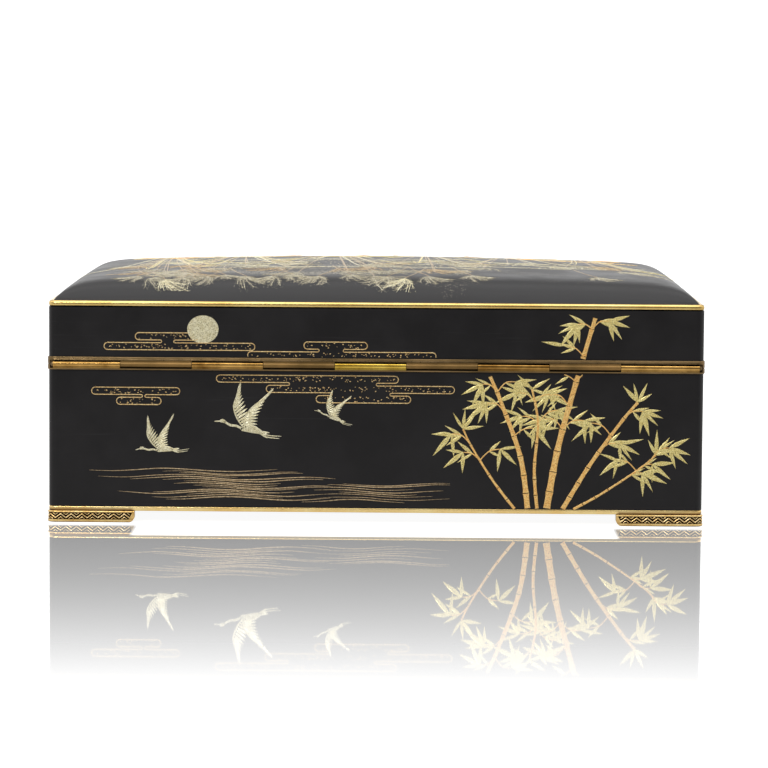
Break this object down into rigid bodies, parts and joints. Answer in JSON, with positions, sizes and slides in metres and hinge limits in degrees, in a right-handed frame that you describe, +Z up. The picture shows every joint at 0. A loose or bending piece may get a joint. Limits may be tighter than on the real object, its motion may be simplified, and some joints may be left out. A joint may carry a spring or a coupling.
{
  "type": "writing box",
  "caption": "Hinged metal writing box with a domed lid, gilt rims, low bracket feet and a lift-out tray for inkstone, water dropper, ink stick and brushes.",
  "frame": {"origin": "middle of the walls' outline, on the surface the feet stand on", "axes": "+X along the width, to the right seen from the hinge side; +Y from the hinge side to the side that opens; +Z up"},
  "size_m": [0.2108, 0.1514, 0.0814],
  "materials": {
    "black_metal": "satin",
    "gilt_metal": "polished",
    "lining_lacquer": "gloss",
    "black_lacquer": "gloss",
    "slate": "matt",
    "dropper_metal": "satin",
    "ink": "satin",
    "bamboo": "satin",
    "horn": "gloss",
    "brush_hair": "soft"
  },
  "bodies": {
    "body": {"body_walls": "black_metal", "base_rim": "gilt_metal", "bottom_plate": "black_metal", "floor_lining": "lining_lacquer", "body_lining": "lining_lacquer", "body_mouth_rim": "gilt_metal", "hinge_pin": "gilt_metal", "body_knuckle_1": "gilt_metal", "body_knuckle_2": "gilt_metal", "body_knuckle_3": "gilt_metal", "body_knuckle_4": "gilt_metal", "body_knuckle_5": "gilt_metal", "foot_back_left": "gilt_metal", "foot_back_right": "gilt_metal", "foot_front_left": "gilt_metal", "foot_front_right": "gilt_metal", "tray_rail_left": "black_lacquer", "tray_rail_right": "black_lacquer"},
    "lid": {"lid_walls": "black_metal", "lid_mouth_rim": "gilt_metal", "crown_rim": "gilt_metal", "lid_panel": "black_metal", "lid_lining": "lining_lacquer", "lid_knuckle_1": "gilt_metal", "lid_knuckle_2": "gilt_metal", "lid_knuckle_3": "gilt_metal", "lid_knuckle_4": "gilt_metal"},
    "tray": {"writing_tray": "black_lacquer", "inkstone_board": "black_lacquer", "brush_rest_left": "black_lacquer", "brush_rest_right": "black_lacquer"},
    "inkstone": {"inkstone": "slate"},
    "dropper": {"dropper_vessel": "dropper_metal", "dropper_top": "dropper_metal"},
    "ink_stick": {"ink_stick": "ink"},
    "brush_large": {"brush_large_handle": "bamboo", "brush_large_collar": "horn", "brush_large_tuft": "brush_hair"},
    "brush_small": {"brush_small_handle": "bamboo", "brush_small_collar": "horn", "brush_small_tuft": "brush_hair"}
  },
  "joints": [
    {"name": "lid_hinge", "type": "hinge", "parent": "body", "child": "lid", "pos_m": [0, -0.075, 0.051], "axis": [1, 0, 0], "range_deg": [0, 115]},
    {"name": "tray_lift", "type": "slide", "parent": "body", "child": "tray", "axis": [0, 0, 1], "range_m": [0, 0.02]},
    {"name": "inkstone_lift", "type": "slide", "parent": "tray", "child": "inkstone", "axis": [0, 0, 1], "range_m": [0, 0.01]},
    {"name": "dropper_lift", "type": "slide", "parent": "tray", "child": "dropper", "axis": [0, 0, 1], "range_m": [0, 0.01]},
    {"name": "ink_stick_lift", "type": "slide", "parent": "tray", "child": "ink_stick", "axis": [0, 0, 1], "range_m": [0, 0.008]},
    {"name": "brush_large_lift", "type": "slide", "parent": "tray", "child": "brush_large", "axis": [0, 0, 1], "range_m": [0, 0.008]},
    {"name": "brush_small_lift", "type": "slide", "parent": "tray", "child": "brush_small", "axis": [0, 0, 1], "range_m": [0, 0.008]}
  ]
}
